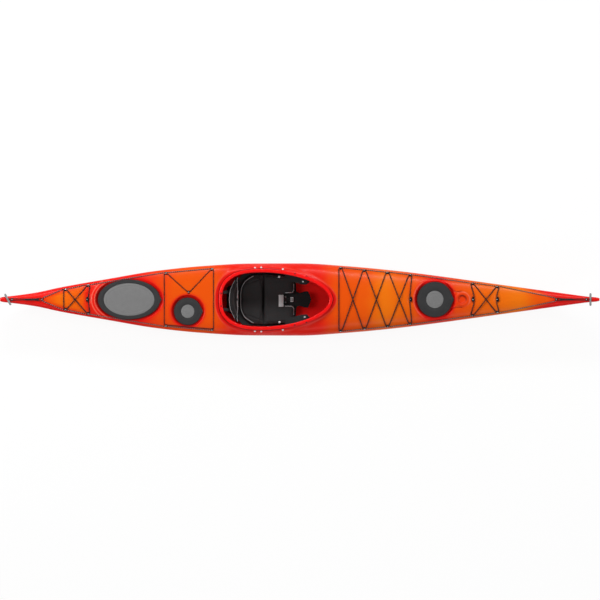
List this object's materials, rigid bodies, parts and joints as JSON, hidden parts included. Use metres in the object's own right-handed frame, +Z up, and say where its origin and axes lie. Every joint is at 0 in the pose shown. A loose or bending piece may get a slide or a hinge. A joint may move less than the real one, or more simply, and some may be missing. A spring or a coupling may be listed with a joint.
{
  "type": "sea kayak",
  "caption": "Closed-deck touring kayak with a rimmed cockpit, padded seat, hatches under rubber covers, deck cords and a drop skeg.",
  "frame": {"origin": "under midships on the centreline, level with the flat of the keel", "axes": "+X towards the bow, +Y to port, +Z up"},
  "size_m": [4.72, 0.5688, 0.3915],
  "materials": {
    "hull_moulding": "satin, orange with a redder cast towards the tips",
    "deck_moulding": "satin, orange blended into red round the cockpit, hatches and tips",
    "foam": "closed-cell foam",
    "cover_rubber": "matt moulded rubber",
    "lid_plastic": "fine woven texture",
    "fitting_plastic": "moulded",
    "bungee": "braided sleeve",
    "deck_line": "braided with pale flecks",
    "grey_plastic": "moulded",
    "seat_fabric": "woven cover over foam",
    "black_plastic": "moulded",
    "aluminium": "extruded"
  },
  "bodies": {
    "boat": {"hull": "hull_moulding", "deck_stern": "deck_moulding", "deck_day": "deck_moulding", "deck_cockpit": "deck_moulding", "deck_bow": "deck_moulding", "bulkhead_aft": "foam", "bulkhead_mid": "foam", "bulkhead_fore": "foam", "guide_stern_2_port": "fitting_plastic", "guide_stern_2_starboard": "fitting_plastic", "guide_stern_3_port": "fitting_plastic", "guide_stern_3_starboard": "fitting_plastic", "guide_stern_4_port": "fitting_plastic", "guide_stern_4_starboard": "fitting_plastic", "guide_stern_5_port": "fitting_plastic", "guide_stern_5_starboard": "fitting_plastic", "guide_bow_1_port": "fitting_plastic", "guide_bow_1_starboard": "fitting_plastic", "guide_bow_2_port": "fitting_plastic", "guide_bow_2_starboard": "fitting_plastic", "guide_bow_3_port": "fitting_plastic", "guide_bow_3_starboard": "fitting_plastic", "guide_bow_4_port": "fitting_plastic", "guide_bow_4_starboard": "fitting_plastic", "guide_bow_5_port": "fitting_plastic", "guide_bow_5_starboard": "fitting_plastic", "guide_bow_6_port": "fitting_plastic", "guide_bow_6_starboard": "fitting_plastic", "guide_stern_1": "fitting_plastic", "guide_bow_7": "fitting_plastic", "guide_day_hatch": "fitting_plastic", "cleat_stern": "fitting_plastic", "cleat_bow_4": "fitting_plastic", "cleat_bow_5": "fitting_plastic", "cleat_bow_6": "fitting_plastic", "fore_bungee": "bungee", "bow_bungee": "bungee", "stern_bungee": "bungee", "aft_bungee": "bungee", "stern_deck_line": "deck_line", "bow_deck_line": "deck_line", "stern_toggle_keeper": "deck_line", "bow_toggle_keeper": "deck_line", "seat_cushion": "seat_fabric", "seat_pan": "black_plastic", "thigh_brace_port": "black_plastic", "thigh_brace_starboard": "black_plastic", "skeg_box": "black_plastic", "foot_rail_port": "aluminium", "foot_rail_starboard": "aluminium"},
    "stern_cover_body": {"stern_hatch_cover": "cover_rubber"},
    "day_cover_body": {"day_hatch_cover": "cover_rubber"},
    "bow_cover_body": {"bow_hatch_cover": "cover_rubber"},
    "backrest_body": {"backrest": "seat_fabric"},
    "leg_support_body": {"leg_support": "seat_fabric"},
    "foot_peg_port_body": {"foot_peg_port": "black_plastic"},
    "foot_peg_starboard_body": {"foot_peg_starboard": "black_plastic"},
    "stern_toggle_body": {"stern_toggle": "grey_plastic"},
    "bow_toggle_body": {"bow_toggle": "grey_plastic"},
    "skeg_body": {"skeg_blade": "black_plastic"}
  },
  "joints": [
    {"name": "stern_cover_lift", "type": "slide", "parent": "boat", "child": "stern_cover_body", "axis": [0, 0, 1], "range_m": [0, 0.15]},
    {"name": "day_cover_lift", "type": "slide", "parent": "boat", "child": "day_cover_body", "axis": [0, 0, 1], "range_m": [0, 0.15]},
    {"name": "bow_cover_lift", "type": "slide", "parent": "boat", "child": "bow_cover_body", "axis": [0, 0, 1], "range_m": [0, 0.15]},
    {"name": "backrest_tilt", "type": "hinge", "parent": "boat", "child": "backrest_body", "pos_m": [-0.515, 0, 0.05615], "axis": [0, 1, 0], "range_deg": [-6, 10]},
    {"name": "leg_support_lift", "type": "hinge", "parent": "boat", "child": "leg_support_body", "pos_m": [-0.283, 0, 0.06003], "axis": [0, -1, 0], "range_deg": [0, 7]},
    {"name": "foot_peg_port_slide", "type": "slide", "parent": "boat", "child": "foot_peg_port_body", "axis": [0.9938, -0.1116, 0], "range_m": [-0.19, 0.11]},
    {"name": "foot_peg_starboard_slide", "type": "slide", "parent": "boat", "child": "foot_peg_starboard_body", "axis": [0.9938, 0.1108, 0], "range_m": [-0.19, 0.11]},
    {"name": "stern_toggle_swivel", "type": "hinge", "parent": "boat", "child": "stern_toggle_body", "pos_m": [-2.298, 0, 0.33946], "axis": [0, 0, 1], "range_deg": [-58, 2]},
    {"name": "bow_toggle_swivel", "type": "hinge", "parent": "boat", "child": "bow_toggle_body", "pos_m": [2.288, 0, 0.3849], "axis": [0, 0, 1], "range_deg": [-30, 30]},
    {"name": "skeg_drop", "type": "hinge", "parent": "boat", "child": "skeg_body", "pos_m": [-1.64256, 0, 0.04128], "axis": [0, -1, 0], "range_deg": [0, 45]}
  ]
}
